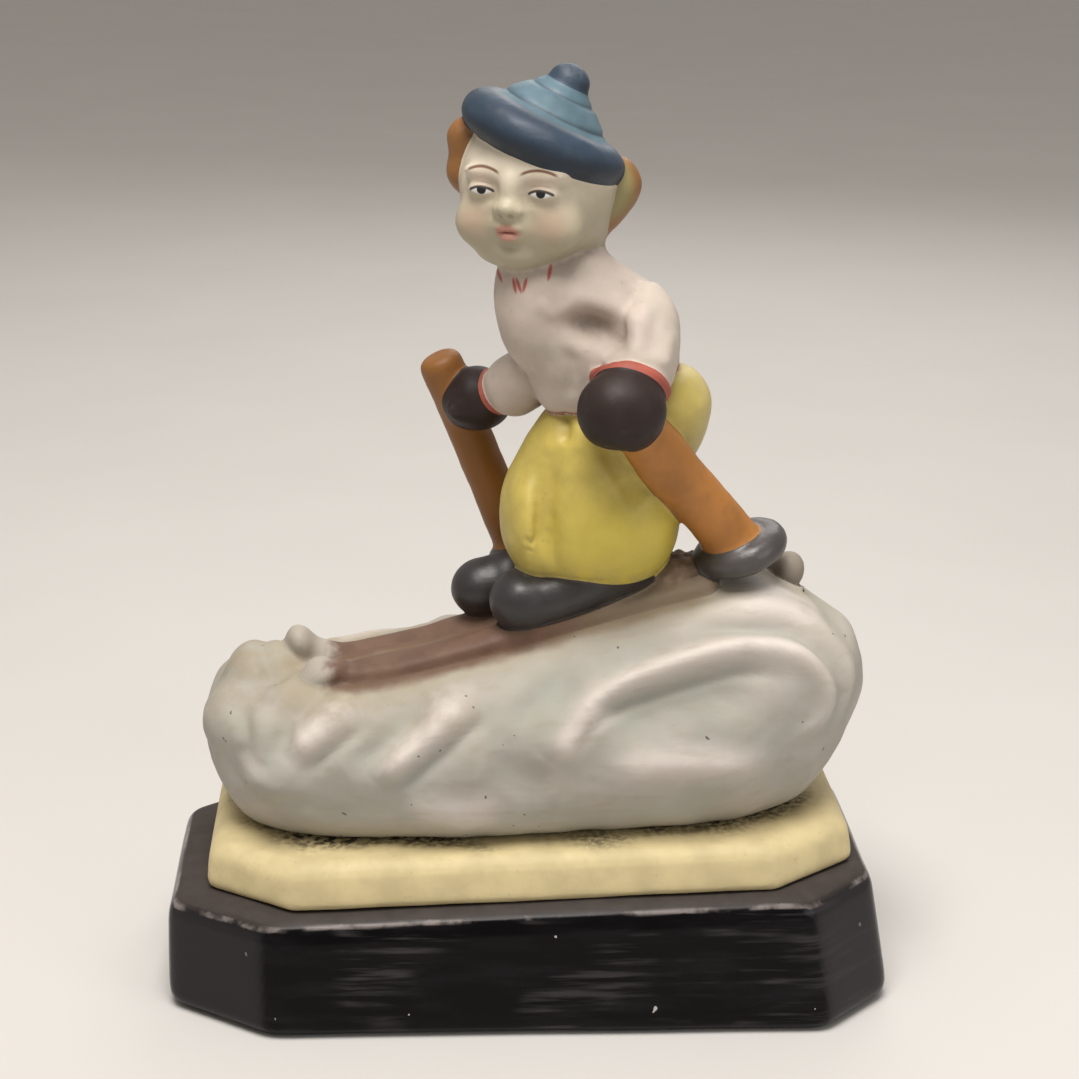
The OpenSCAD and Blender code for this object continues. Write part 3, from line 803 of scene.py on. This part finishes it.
def pole_paint():
    """Orange brown, with painted shade on the far pole."""
    paint = Paint("pole", 0.4)
    base = weathered(paint, ORANGE)
    # Painted shade on the far pole.
    base = paint.over(base, tinted(ORANGE, 0.62), paint.step(paint.axes()[1], 2, 6))
    paint.grain()
    return paint.finish(base, paint.linear(paint.noise(3), 0.24, 0.38))


def trouser_paint():
    """Yellow, fullest and with a painted highlight low on the right thigh, greyer at the waist and the seat.
    """
    paint = Paint("trousers", 0.4)
    foot, middle = box_mm("trousers")[0][2], middle_mm("trousers")
    base = weathered(paint, YELLOW, light=1.08, dark=0.84, grime_and_shade=0.25)
    # Fuller yellow and a painted highlight low on the thigh.
    thigh = paint.spot(middle + (3, -8, -9), (11, 12, 8), 0.5)
    base = paint.over(base, YELLOW_FULL_AND_HIGHLIGHT, thigh, 0.55)
    seat = paint.spot(middle + (14, 5, 6), (10, 12, 14), 0.4)
    base = paint.over(base, YELLOW_SEAT, seat, 0.65)
    base = paint.over(base, YELLOW_FOOT, paint.step(paint.axes()[2], foot + 7, foot + 2),
                      paint.step(paint.noise(2.5, 4), 0.35, 0.65), 0.5)
    paint.grain(strength=0.4)
    return paint.finish(base, paint.linear(paint.noise(4, 2), 0.2, 0.36))


def glaze_paint():
    """Black glaze, streaked and chipped on its sides, the streaks partly a painted reflection, with a
    painted reflection on its ends and chamfers, dusty on top, and worn at the upper edge with a painted
    highlight along it.
    """
    paint = Paint("black_glaze", 0.13)
    nx, _, nz = paint.facing()
    flat = paint.step(nz, 0.6, 0.9)
    brush = paint.noise(2.5, 4, (0.2, 0.2, 1))
    base = paint.mix(paint.step(brush, 0.4, 0.8), GLAZE_DEEP, GLAZE_THIN)
    # Light vertical streaks: brush streaks in the glaze, partly a painted reflection.
    base = paint.over(base, GLAZE_STREAK_AND_REFLECTION, paint.step(paint.noise(1.0, 4, (0.06, 0.06, 1)), 0.48, 0.68),
                      paint.step(paint.noise(16, 2), 0.45, 0.62), 0.6)
    base = paint.over(base, GLAZE_CHIP, paint.step(paint.noise(1.8, 1), 0.80, 0.81))
    # Painted reflection on the faces that look left and right.
    base = paint.over(base, GLAZE_SIDE_REFLECTION, paint.step(paint.math("ABSOLUTE", nx), 0.3, 0.6), 0.75)
    base = paint.over(base, paint.mix(paint.noise(3, 4), GLAZE_TOP, GLAZE_DUST), flat)
    # Wear and a painted highlight along the rounded upper edge.
    rounded = paint.times(paint.step(nz, 0.56, 0.66), paint.step(nz, 0.82, 0.72))
    base = paint.over(base, GLAZE_WEAR_AND_HIGHLIGHT, rounded, paint.step(paint.noise(7, 4), 0.44, 0.6), 0.75)
    paint.bump(paint.noise(6), 0.15, 0.3)
    rough = paint.math("MAXIMUM", paint.linear(brush, 0.25, 0.06), paint.times(flat, 0.6))
    return paint.finish(base, rough)


def slab_paint():
    """Cream, sooty and with painted shadow under the overhang of the snow."""
    paint = Paint("cream", 0.35)
    base = weathered(paint, CREAM, light=1.08, dark=0.9, grime_and_shade=0.3)
    # Dark stain and painted shadow near the snow.
    ragged = paint.math("ADD", paint.attribute("soot"), paint.times(paint.noise(13), 12))
    base = paint.over(base, SOOT_AND_SHADOW, paint.step(ragged, 9.2, 4.8),
                      paint.step(paint.noise(1.0, 5), 0.36, 0.60))
    paint.bump(paint.noise(0.5), 0.05, 0.5)
    return paint.finish(base, 0.6)


# ---- the castings

FIGURE_CELL = 0.35
GROUND_CELL = 0.4
BASE_CELL = 0.5

FIGURE = {  # node: (smoothing length, growth that makes up for it)
    "cap_brim": (0.7, 0.1), "cap_crown": (0.6, 0.05), "cap_pompom": (0.6, 0.1), "head": (1.2, 0.1),
    "near_hair": (0.8, 0.1), "far_hair": (0.6, 0.1), "torso": (1.4, 0.1), "trousers": (1.4, 0.1),
    "near_sleeve": (1.2, 0.1), "near_cuff": (0.4, -0.15), "near_mitten": (0.9, 0.45),
    "near_pole": (0.8, 0.1), "near_basket": (0.6, 0.05), "far_sleeve": (1.0, 0.1),
    "far_cuff": (0.4, -0.5), "far_mitten": (0.8, 0.2), "far_pole": (0.7, 0.1),
    "far_basket": (0.5, 0.05), "near_boot": (1.0, 0.1), "far_boot": (0.8, 0.1)}
GROUND = {
    "snow_mound": (1.6, 0.1), "near_ski": (0.7, 0.05), "far_ski": (0.7, 0.05), "grit_patch": (0.5, 0.1)}
SLAB, PLINTH = {"slab": (0.55, 0.0)}, {"plinth": (0.8, 0.0)}
FIGURE_FILLET, GROUND_FILLET, BASE_FILLET = 0.5, 0.6, 0.2
SLOTS = {
    "head": "skin_bisque", "near_hair": "hair_brown", "far_hair": "hair_brown", "torso": "sweater_white",
    "near_sleeve": "sweater_white", "far_sleeve": "sweater_white", "near_cuff": "cuff_red",
    "far_cuff": "cuff_red", "near_mitten": "mitten_brown", "far_mitten": "mitten_brown",
    "near_pole": "pole_orange", "far_pole": "pole_orange", "near_basket": "basket_pewter",
    "far_basket": "basket_pewter", "trousers": "trouser_yellow", "near_boot": "boot_charcoal",
    "far_boot": "boot_charcoal", "cap_brim": "cap_dark_blue", "cap_pompom": "cap_dark_blue",
    "cap_crown": "cap_light_blue", "snow_mound": "snow_bisque", "near_ski": "ski_brown",
    "far_ski": "ski_brown", "grit_patch": "grit", "slab": "cream_bisque", "plinth": "black_glaze"}

PAINTS = {
    "cap_dark_blue": cap_paint("cap_dark", BLUE_DARK, [(BRIM_RING_LEVEL, 0.5, BRIM_RING, 0.6)]),
    "cap_light_blue": cap_paint("cap_light", BLUE_LIGHT, [
        (CROWN_RING_LEVELS[0], 0.16, CROWN_RING, 0.7), (CROWN_RING_LEVELS[1], 0.14, CROWN_RING, 0.6)]),
    "sweater_white": sweater_paint(),
    "cuff_red": matte("cuff", RED, 0.6, light=1.2, dark=0.8),
    "mitten_brown": matte("mitten", MITTEN, 0.56, 0.28, worn=MITTEN_WORN),
    "pole_orange": pole_paint(),
    "basket_pewter": matte("basket", PEWTER, 0.36, 0.55),
    "trouser_yellow": trouser_paint(),
    "boot_charcoal": matte("boot", BOOT, 0.4, 0.5, worn=BOOT_WORN),
    "hair_brown": hair_paint(),
    "skin_bisque": face_paint(),
    "snow_bisque": snow_paint(),
    "ski_brown": ski_paint(),
    "grit": matte("grit", GRIT, 0.8, light=1.5, dark=0.4),
    "cream_bisque": slab_paint(),
    "black_glaze": glaze_paint(),
}


def cast(cell, recipe, context, fillet, shape=None, carve=None, relief=None):
    """Melt a recipe's nodes and their neighbours together, and make a piece for each node of the recipe.

    shape works on the blocks, carve on the melted whole and relief on its skin.
    """
    blocks = {n: solid(n, cell, *how) for n, how in {**recipe, **context}.items()}
    if shape:
        shape(blocks)
    whole = melted(list(blocks.values()), fillet)
    if carve:
        carve(whole)
    skin = Skin(whole)
    fields = {n: b.at(skin.points) for n, b in blocks.items()}
    if relief:
        relief(skin, fields)
    skin.settle()
    parts = skin.divided(fields)
    for n in recipe:
        make_piece(n + "_skin", parts[n], PAINTS[SLOTS[n]], [n])


# ---- the figure

face_turn, cap_tilt = math.radians(FACE_TURN), math.radians(CAP_TILT)
FORWARD = np.array([math.sin(face_turn), -math.cos(face_turn), 0])
ACROSS = np.array([math.cos(face_turn), math.sin(face_turn), 0])
CAP_AXIS = np.array([math.sin(cap_tilt), 0, math.cos(cap_tilt)])


def on_face(head, u, w):
    """The point of the head's skin at u across and w above its middle, seen from the front."""
    depth = np.linspace(0, 15, 301)[:, None]
    line = np.array(HEAD) + u * ACROSS + np.array([0, 0, w]) + depth * FORWARD
    return line[np.abs(head.at(line)).argmin()]


FEATURES = [  # u, w, how far out of the skin, radii across, deep and up, softness, added or scooped
    (4.4, 1.4, 1.3, (3.2, 2.0, 2.0), 1.2, False),  # eye sockets
    (4.4, 1.2, -1.0, (2.3, 1.5, 1.35), 0.8, True),  # eyeballs
    (4.3, 3.8, -1.2, (3.4, 1.6, 1.1), 1.2, True),  # brow ridges
    (5.6, -3.8, -2.1, (3.7, 3.0, 3.3), 1.8, True),  # cheeks
    (0, 1.4, -0.6, (1.1, 1.3, 2.6), 1.2, True),  # bridge of the nose
    (0, -0.8, 0.1, (1.55, 2.0, 1.3), 0.9, True),  # its tip
    (1.35, -1.1, 0.1, (0.9, 1.1, 0.85), 0.5, True),  # nostrils
    (0, -3.6, -1.7, (3.0, 2.4, 2.4), 1.6, True),  # round of the mouth
    (0, -7.6, -1.7, (2.8, 2.4, 1.9), 1.4, True),  # chin
    (0, -6.2, 1.4, (2.2, 1.3, 0.8), 0.9, False),  # crease above the chin
    (0.8, -3.55, 0.15, (1.2, 1.0, 0.7), 0.5, True),  # upper lip
    (0, -4.95, 0.15, (1.45, 1.05, 0.75), 0.5, True),  # lower lip
    (0, -4.2, 1.2, (1.9, 0.9, 0.22), 0.35, False),  # line of the mouth
]
FIGURE_LUMPS = [  # node, place from its middle, radii, softness
    ("near_hair", (-2.4, -1.2, 0.4), (3.8, 3.6, 5.4), 1.5),
    ("head", (5.6, 2.6, -4.8), (4.8, 6.4, 6.0), 1.8),  # nape
    ("head", (5.0, 2.4, -9.2), (4.6, 5.4, 4.2), 1.5),  # neck
    ("torso", (5.2, 0.2, 0.2), (7.4, 8.0, 6.2), 2.0),  # under the near arm
    ("near_mitten", (-0.5, -1.6, 0.8), (6.3, 5.5, 5.9), 0.8),
    ("torso", (-9.4, -1.6, 3.2), (4.4, 6.4, 8.0), 3.5),  # under the far arm
    ("far_mitten", (-2.0, -3.0, -1.0), (2.6, 1.7, 2.0), 0.7),  # thumb
    ("trousers", (-10.8, -2.6, -6.4), (4.4, 8.0, 8.2), 2.0),  # far knee
    ("trousers", (1.8, -3.8, -6.6), (8.8, 9.0, 9.0), 2.0),  # near thigh
]
BOOT_TOES = [  # node, place from its lowest corner, radii
    ("near_boot", (4.6, 4.6, 4.4), (4.6, 4.9, 4.3)), ("far_boot", (4.2, 4.4, 4.3), (4.3, 4.5, 4.1))]


def shape_figure(blocks):
    """Model the face, and fill out what the CAD leaves lean."""
    head = blocks["head"]
    bare = Block(head.cell, head.low, head.values.copy())
    for u, w, out, radii, soft, add in FEATURES:
        for side in ((-1, 1) if u else (1,)):
            place = on_face(bare, side * u, w) + out * FORWARD
            head.lump(place, radii, soft, (0, 0, FACE_TURN), add)
    for node, offset, radii, soft in FIGURE_LUMPS:
        blocks[node].lump(middle_mm(node) + offset, radii, soft)
    for node, offset, radii in BOOT_TOES:
        blocks[node].lump(box_mm(node)[0] + offset, radii, 1.2)


def carve_figure(whole):
    """Scoop out the hollow between the chest and the arm, and the one between the legs."""
    chest, legs = middle_mm("torso"), middle_mm("trousers")
    whole.lump(chest + (-0.8, -12.9, 1.9), (4.8, 5.6, 2.7), 2.2, (0, CHEST_LEAN, 0), add=False)
    whole.lump(legs + (-9.4, -13.8, -2), (1.4, 4.4, 12), 2.6, (0, -4, 0), add=False)


FIGURE_STROKES = [  # elevation, curve, width, height
    # folds at the waist and down the front of the trousers
    (FRONT, [(4.1, 90.8), (4.1, 88.6), (3.5, 86)], 0.7, -0.8),
    (FRONT, [(2.4, 90), (1.8, 87), (1, 84)], 0.9, 0.35),
    (FRONT, [(5.6, 90), (6, 87.4), (6, 85)], 0.9, 0.35),
    (FRONT, [(2.4, 86), (1.2, 80), (0.7, 74), (0.8, 68)], 1.6, -0.9),
    (FRONT, [(-2, 73), (-0.9, 71.8), (0, 72.8)], 0.4, -0.35),
    (FRONT, [(-1.6, 70.9), (-0.6, 70.4)], 0.35, -0.25),
    # folds of the seat and of the back
    (FRONT, [(8.4, 89), (10.4, 85), (12.6, 81.5), (15, 78)], 1.8, -1.3),
    (FRONT, [(14, 84), (16.4, 81), (17.4, 77)], 1.4, 0.4),
    (BACK, [(13.5, 94), (12.5, 88), (11.5, 81), (10, 70)], 1.6, -1.0),
    (BACK, [(5, 84), (10, 81.5), (16, 81), (22, 83)], 1.3, -0.45),
    # folds of the sweater
    (FRONT, [(0.5, 104), (2.5, 99), (2.4, 94)], 1.6, 0.35),
    (FRONT, [(3.5, 101.5), (4.8, 97), (4.4, 93)], 1.1, -0.35),
    (FRONT, [(-0.6, 108), (1.5, 106), (5, 107)], 1.3, 0.3),
    (FRONT, [(13.4, 107), (12.6, 104), (11.4, 101.5)], 1.4, 0.3),
    (FRONT, [(16.5, 107), (15.8, 103.5), (15.6, 100.5)], 1.1, -0.35),
    (FRONT, [(18.4, 104), (17.8, 101), (17.2, 99)], 1.0, 0.3),
    (BACK, [(18, 108), (12, 105), (4, 106)], 1.8, -0.5),
    (BACK, [(19, 101), (13, 98.5), (6, 99.5)], 1.6, -0.4),
    (BACK, [(-1, 96), (3, 93.5), (9, 93)], 1.3, -0.35),
]


def figure_relief(skin, fields):
    skin.values["hem"] = np.where(fields["torso"] < 0.4, fields["trousers"] - fields["torso"], 9)
    for stroke in FIGURE_STROKES:
        skin.stroke(*stroke)
    height = (skin.points - CAP) @ CAP_AXIS
    crown = fields["cap_crown"] < 0.4
    for level in CROWN_RING_LEVELS:
        skin.lift -= 0.22 * np.exp(-((height - level) / 0.3) ** 2) * crown
    hair = (fields["head"] < 0.5) & (skin.points[:, 1] > HEAD[1] + 5)
    for x in range(-8, 9, 2):
        path = [(x * 0.5, HEAD[2] + 6), (x * 0.95 + 0.5, HEAD[2] + 2),
                (x, HEAD[2] - 3), (x * 0.7 + 0.6, HEAD[2] - 8)]
        skin.stroke(BACK, path, 0.55, -0.4, within=hair)
    skin.waver(5, 0.18, 1)
    skin.waver(1.8, 0.05, 5)


# ---- the snow and the skis

SNOW_END_LUMPS = [  # the rounded left end of the snow: place and radii
    ((-40.8, 0, 45.4), (6.2, 8, 6.4)), ((-44.4, -6.6, 42.0), (5, 5.6, 5.2)),
    ((-40.4, -11.8, 41.0), (4.8, 5, 5.0)), ((-38, -15, 36.6), (5, 4.6, 4.6)),
    ((-44.0, 6, 41), (5.2, 6, 6)), ((-40, 13, 38), (5, 5, 5.5))]


def shape_ground(blocks):
    """Round off the snow's left end, and run the skis' tips and the one tail knob into the snow."""
    mound, near_ski, far_ski = (blocks[n] for n in ("snow_mound", "near_ski", "far_ski"))
    for place, radii in SNOW_END_LUMPS:
        mound.lump(place, radii, 2.2)
    low, high = box_mm("far_ski")
    far_ski.lump((low[0] + 2.6, -0.6, 52.2), (1.9, 2.6, 2.4), 1.6, (0, -30, 0))
    far_ski.lump((high[0] - 2.0, -2.2, high[2] - 2.6), (2.2, 2.4, 2.8), 1.6)
    mound.lump((low[0] - 0.2, -0.4, 48.0), (3.6, 3.6, 3.0), 1.4)
    near_tip = box_mm("near_ski")[0][0]
    mound.lump((near_tip - 0.6, -9.0, 46.0), (5.0, 4.0, 3.2), 2.4)
    near_ski.lump((near_tip + 3.0, -9.2, 50.2), (3.2, 2.4, 1.4), 2.0, (0, -20, 0))


MOUND_STROKES = [  # elevation, curve, width, height
    # the three swept ridges, the hollows beside them, and the dents between
    (FRONT, [(-26, 47.5), (-31, 44.4), (-36.5, 40.2)], 2.0, 2.4),
    (FRONT, [(-8, 50), (-16.3, 44.4), (-24, 38)], 2.1, 2.5),
    (FRONT, [(1.2, 42), (5.4, 48.2), (11.5, 51.9), (15.5, 53.6), (22.3, 55.8), (28.7, 57.2), (35, 56.7),
             (39.8, 54.4), (42.9, 49.8), (42.3, 45.6), (38.7, 43.4)], 1.5, 2.3),
    (FRONT, [(-24, 46.4), (-29, 42.4), (-34.4, 38)], 1.0, -0.9),
    (FRONT, [(-5.4, 49), (-13.4, 42.6), (-21, 36)], 1.1, -1.0),
    (FRONT, [(4.6, 41), (8.6, 46.8), (14.4, 50.2), (23.6, 53.2), (30.6, 54.2), (36.4, 52.4)], 1.0, -0.9),
    (FRONT, [(10.5, 50.4), (6.2, 46.4), (2.2, 41.2)], 2.2, 1.5),
    (FRONT, [(9, 45.6), (17, 49), (25, 51), (34, 51)], 4.0, -2.2),
    (FRONT, [(-8, 40.6), (-2, 38.4), (3, 36.6)], 3.4, -1.0),
    (FRONT, [(-28, 39), (-21, 43.5), (-15, 48.6)], 2.4, -1.4),
    (FRONT, [(-4, 46), (1, 50.5), (8, 54)], 2.2, -1.0),
    # the two outer rings round the loaf
    (FRONT, [(16.2, 58.2), (27.2, 61), (36.4, 60.4), (43.5, 56.1), (46.7, 50.1), (46, 43)], 1.3, 1.3),
    (FRONT, [(27, 63.2), (38.8, 61.8), (45.2, 57.6)], 1.3, 1.0),
    (FRONT, [(20, 59.4), (30, 59.6), (38, 58.2), (43.4, 53)], 1.1, -1.1),
    # dents at the left end, and low swells
    (FRONT, [(-43.6, 38), (-42.6, 42.6), (-43.6, 47)], 1.5, -0.8),
    (FRONT, [(-35.5, 45), (-38.5, 40.5), (-42, 37.6)], 1.6, -0.7),
    (FRONT, [(-43, 35.5), (-38, 33), (-32, 33.4)], 1.5, -0.7),
    (FRONT, [(-20, 35), (-12, 32.4), (-4, 32.4)], 2.6, 0.7),
    (FRONT, [(8, 39.6), (22, 41), (36, 40)], 2.6, 0.9),
    # the same kind of ridges behind
    (BACK, [(-28, 46), (-33, 43), (-37, 38)], 2.0, 2.0),
    (BACK, [(-8, 50), (-16, 45), (-23, 38)], 2.2, 2.2),
    (BACK, [(2, 40), (7, 47), (15, 52), (26, 55), (36, 54), (42, 48), (40, 42)], 2.2, 2.2),
    (BACK, [(10, 43), (20, 47), (33, 47.5)], 4.0, -1.8),
    (BACK, [(20, 58), (32, 59.6), (42, 55), (46, 47)], 1.6, 1.5),
    # the top and the two ends
    (TOP, [(-36, -10), (-40, -5), (-41, 2), (-38, 8)], 1.6, -0.9),
    (TOP, [(-38, 5), (-30, 8.6), (-18, 9.6)], 1.8, 0.8),
    (RIGHT, [(-14, 50), (-4, 55), (8, 52), (14, 44)], 2.2, 0.7),
    (RIGHT, [(-12, 42), (0, 46), (11, 41)], 2.4, 0.6),
    (LEFT, [(-8, 36), (-2, 39), (6, 36)], 1.5, -0.9),
]


def ground_relief(skin, fields):
    skin.values["ski"] = np.minimum(fields["near_ski"], fields["far_ski"])
    mound = fields["snow_mound"] < 0.6
    for stroke in MOUND_STROKES:
        skin.stroke(*stroke, within=mound)
    crumbs = np.array([noise.noise(Vector(p) / 1.1) for p in skin.points])
    skin.lift += 0.7 * crumbs * np.clip(1 - fields["grit_patch"] / 0.8, 0, 1)
    skin.waver(6, 0.3, 2)
    skin.waver(2.2, 0.08, 6)


def slab_relief(skin, fields):
    # Distance to the snow, for the stain and painted shadow under it.
    skin.values["soot"] = solid("snow_mound", BASE_CELL, GROUND["snow_mound"][0]).at(skin.points)
    skin.waver(14, 0.12, 3)


def plinth_relief(skin, fields):
    skin.waver(18, 0.2, 4)


figure_context = {n: GROUND[n] for n in ("near_ski", "far_ski", "snow_mound", "grit_patch")}
ground_context = {n: FIGURE[n] for n in ("near_boot", "far_boot", "near_basket", "far_basket", "trousers")}
cast(FIGURE_CELL, FIGURE, figure_context, FIGURE_FILLET, shape_figure, carve_figure, figure_relief)
cast(GROUND_CELL, GROUND, ground_context, GROUND_FILLET, shape_ground, relief=ground_relief)
cast(BASE_CELL, SLAB, {}, BASE_FILLET, relief=slab_relief)
cast(BASE_CELL, PLINTH, {}, BASE_FILLET, relief=plinth_relief)


# ---- the floor

REACH = 6.0  # metres from the middle of the floor to its sides

floor_mesh = bpy.data.meshes.new("floor")
corners = [(-REACH, -REACH, 0), (REACH, -REACH, 0), (REACH, REACH, 0), (-REACH, REACH, 0)]
floor_mesh.from_pydata(corners, [], [(0, 1, 2, 3)])
floor = bpy.data.objects.new("floor", floor_mesh)
scene.collection.objects.link(floor)
floor_paint = Paint("floor", 0.2)
floor_colour = floor_paint.mix(floor_paint.noise(60, 2), FLOOR_DULL, FLOOR_PALE)
floor_mesh.materials.append(floor_paint.finish(floor_colour, 0.7))
